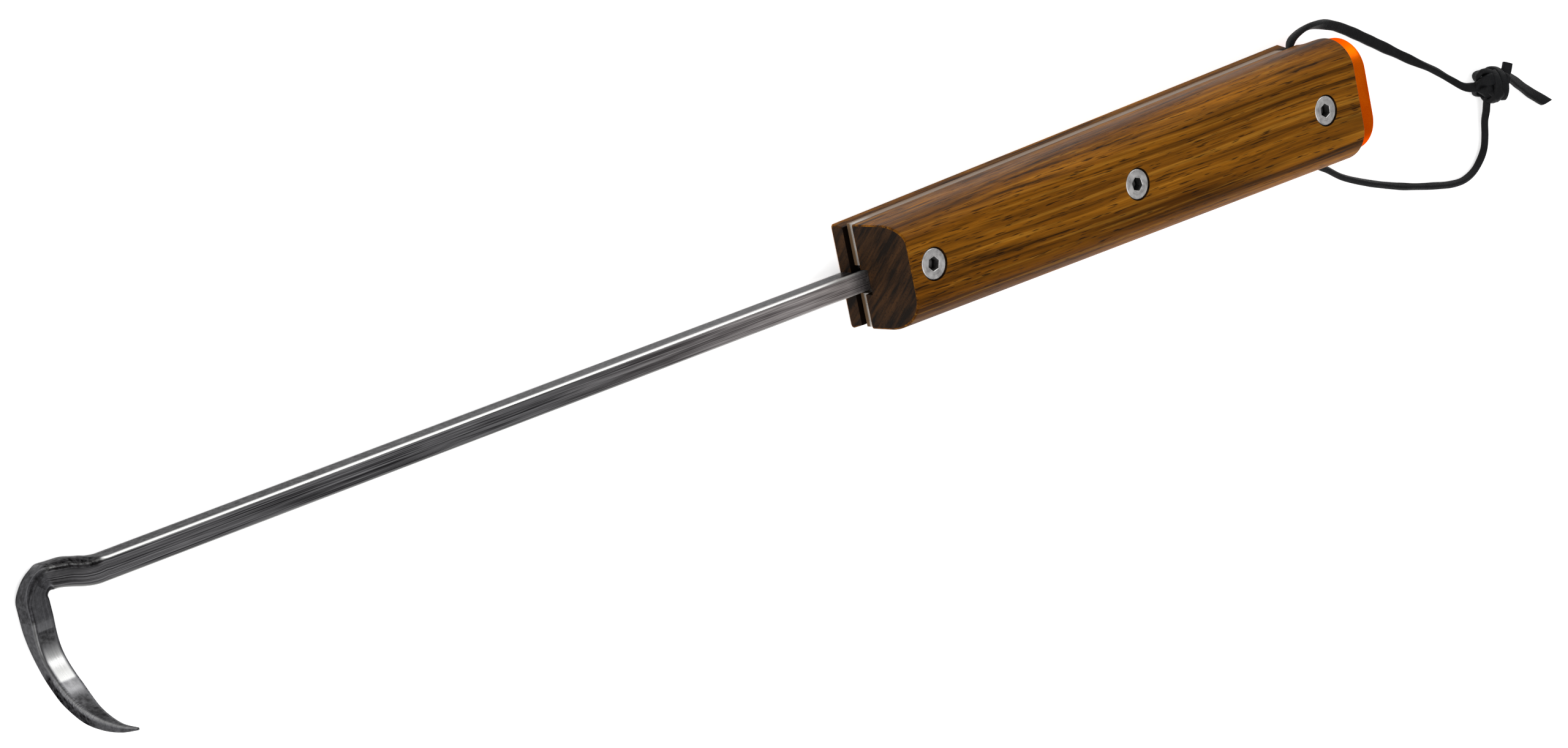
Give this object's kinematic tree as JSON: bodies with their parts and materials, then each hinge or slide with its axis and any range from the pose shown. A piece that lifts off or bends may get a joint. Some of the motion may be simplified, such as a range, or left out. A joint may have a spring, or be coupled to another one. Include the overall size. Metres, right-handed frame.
{
  "type": "hook tool",
  "caption": "Long steel bar with a forged pointed hook, two wooden handle scales screwed over a steel plate, orange butt cap and a leather lace loop.",
  "frame": {"origin": "on the flat back of the handle, on the line of the screws, halfway between the first and the second screw", "axes": "+X from the hook to the butt, +Y towards the spine of the handle, +Z out of the flat back towards the side with the screw heads"},
  "size_m": [0.5159, 0.0612, 0.0356],
  "materials": {
    "bar_steel": "brushed lengthwise, dark in the reflections",
    "plate_steel": "ground flush with the wood",
    "weld_steel": "as welded",
    "oiled_wood": "oiled, dark streaks along the grain",
    "screw_steel": "turned stainless steel",
    "orange_anodised": "bead-blasted and anodised orange",
    "black_leather": "dyed black"
  },
  "bodies": {
    "root": {"hook_shank": "bar_steel", "tang_plate": "plate_steel", "weld_bead": "weld_steel", "front_scale": "oiled_wood", "back_scale": "oiled_wood", "handle_screw_1": "screw_steel", "handle_screw_2": "screw_steel", "handle_screw_3": "screw_steel", "sleeve_nut_1": "screw_steel", "sleeve_nut_2": "screw_steel", "sleeve_nut_3": "screw_steel", "cap_screw_1": "screw_steel", "cap_screw_2": "screw_steel", "butt_cap": "orange_anodised", "lace_upper": "black_leather", "lace_lower": "black_leather", "lace_knot": "black_leather", "lace_tail": "black_leather", "lace_stub": "black_leather"}
  },
  "joints": []
}
